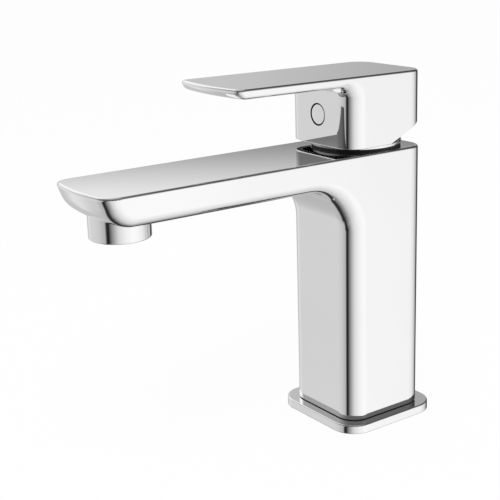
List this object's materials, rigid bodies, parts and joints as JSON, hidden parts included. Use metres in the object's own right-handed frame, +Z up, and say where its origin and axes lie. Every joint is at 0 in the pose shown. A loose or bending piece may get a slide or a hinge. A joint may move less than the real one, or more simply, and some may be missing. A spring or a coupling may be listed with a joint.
{
  "type": "bathroom mixer faucet",
  "caption": "Square single-lever basin mixer faucet with a slab spout and flat lever; a ceramic cartridge mixes hot and cold water.",
  "frame": {"origin": "on the column's axis at deck level, the underside of the base plate", "axes": "+Z up along the column, -Y towards the user along the spout and the lever, +X to the user's right"},
  "size_m": [0.0508, 0.1591, 0.1535],
  "materials": {
    "chrome": "polished chrome plating",
    "chrome_trim": "polished chrome plating on small trim",
    "seal_rubber": "matt black rubber",
    "cartridge_plastic": "moulded off-white plastic",
    "core_plastic": "moulded blue-grey plastic",
    "ceramic": "lapped alumina",
    "brass": "turned brass",
    "steel": "plain stainless steel",
    "outlet_plastic": "moulded white plastic"
  },
  "bodies": {
    "faucet_body": {"body_casting": "chrome", "base_plate": "chrome", "plate_seal": "seal_rubber", "deck_gasket": "seal_rubber", "cartridge_base": "cartridge_plastic", "inlet_seals": "seal_rubber", "disc_seals": "seal_rubber", "fixed_disc": "ceramic", "cartridge_housing": "cartridge_plastic", "housing_seal": "seal_rubber", "retaining_nut": "brass", "dome_ring": "chrome_trim", "dome_seal": "seal_rubber", "aerator_shell": "chrome_trim", "aerator_washer": "seal_rubber", "aerator_insert": "outlet_plastic", "flow_regulator": "outlet_plastic", "aerator_screen": "steel"},
    "cartridge_core": {"rotor": "core_plastic", "pivot_pin": "steel"},
    "lever": {"lever_handle": "chrome", "stem": "brass", "set_screw": "steel", "index_plug": "chrome_trim"},
    "mixing_disc": {"moving_disc": "ceramic", "disc_carrier": "core_plastic"}
  },
  "joints": [
    {"name": "temperature_turn", "type": "hinge", "parent": "faucet_body", "child": "cartridge_core", "pos_m": [0, 0, 0.113], "axis": [0, 0, 1], "range_deg": [-45, 45]},
    {"name": "lever_lift", "type": "hinge", "parent": "cartridge_core", "child": "lever", "pos_m": [0, 0, 0.113], "axis": [-1, 0, 0], "range_deg": [0, 24]},
    {"name": "disc_slide", "type": "slide", "parent": "cartridge_core", "child": "mixing_disc", "axis": [0, -1, 0], "range_m": [0, 0.0061]}
  ],
  "couplings": [
    {"joint": "disc_slide", "follows": "lever_lift", "m_per_rad": 0.0145}
  ]
}
